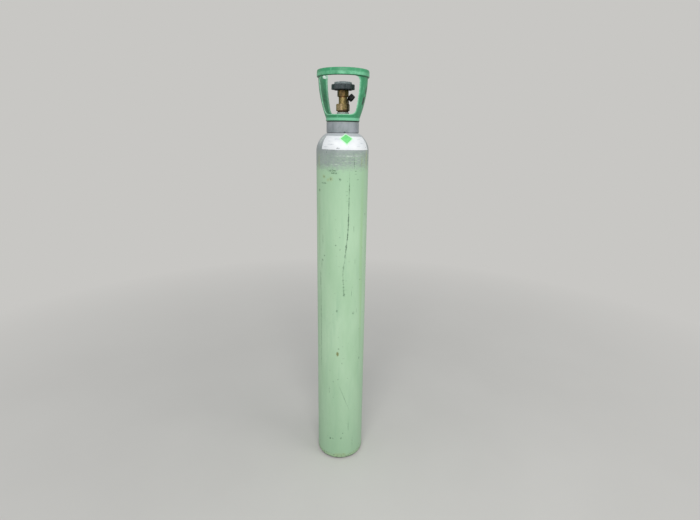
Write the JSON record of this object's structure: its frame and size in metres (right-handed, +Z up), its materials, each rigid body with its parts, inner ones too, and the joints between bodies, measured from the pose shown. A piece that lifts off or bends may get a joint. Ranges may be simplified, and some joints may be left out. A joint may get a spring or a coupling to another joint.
{
  "type": "gas cylinder with valve guard",
  "caption": "Slim upright steel gas cylinder with a screwed neck ring, moulded tulip valve guard, handwheel valve and tethered dust cap.",
  "frame": {"origin": "centre of the circle on which the foot stands", "axes": "+Z up along the cylinder's axis; the guard's front window and the shoulder label face roughly -Y, the valve's outlet roughly +Y"},
  "size_m": [0.14, 0.1398, 1.1408],
  "materials": {
    "painted_steel": "worn gloss paint",
    "grey_steel": "worn satin paint",
    "green_plastic": "moulded, scuffed",
    "plain_steel": "turned",
    "date_plastic": "moulded",
    "brass": "tarnished forging",
    "copper": "dull",
    "white_polymer": "machined",
    "seal_rubber": "moulded",
    "dark_plastic": "worn moulding",
    "aluminium": "pressed, dull",
    "cap_rubber": "soft moulding",
    "label_white": "coated label",
    "label_green": "coated label"
  },
  "bodies": {
    "cylinder": {"cylinder_shell": "painted_steel", "neck_ring": "grey_steel", "valve_guard": "green_plastic", "guard_lock_screws": "plain_steel", "test_date_ring": "date_plastic", "valve_body": "brass", "gland_gasket": "copper", "gland_nut": "brass", "shoulder_label": "label_white", "hazard_label": "label_green"},
    "handwheel": {"handwheel": "dark_plastic", "upper_spindle": "brass", "spindle_o_ring": "seal_rubber", "thrust_washer": "white_polymer", "wheel_washer": "plain_steel", "wheel_spring": "plain_steel", "wheel_nut": "plain_steel", "wheel_cap": "aluminium"},
    "seat_carrier": {"lower_spindle": "brass", "seat_disc": "white_polymer"},
    "dust_cap": {"dust_cap": "cap_rubber"}
  },
  "joints": [
    {"name": "handwheel_turn", "type": "hinge", "parent": "cylinder", "child": "handwheel", "pos_m": [0, 0, 1.1], "axis": [0, 0, 1], "range_deg": [0, 630]},
    {"name": "seat_lift", "type": "slide", "parent": "handwheel", "child": "seat_carrier", "axis": [0, 0, 1], "range_m": [0, 0.0035]},
    {"name": "dust_cap_swivel", "type": "hinge", "parent": "cylinder", "child": "dust_cap", "pos_m": [0, 0, 1.06524], "axis": [0.2334, 0.9724, 0], "range_deg": [-5, 65]}
  ],
  "couplings": [
    {"joint": "seat_lift", "follows": "handwheel_turn", "m_per_rad": 0.00031831}
  ]
}
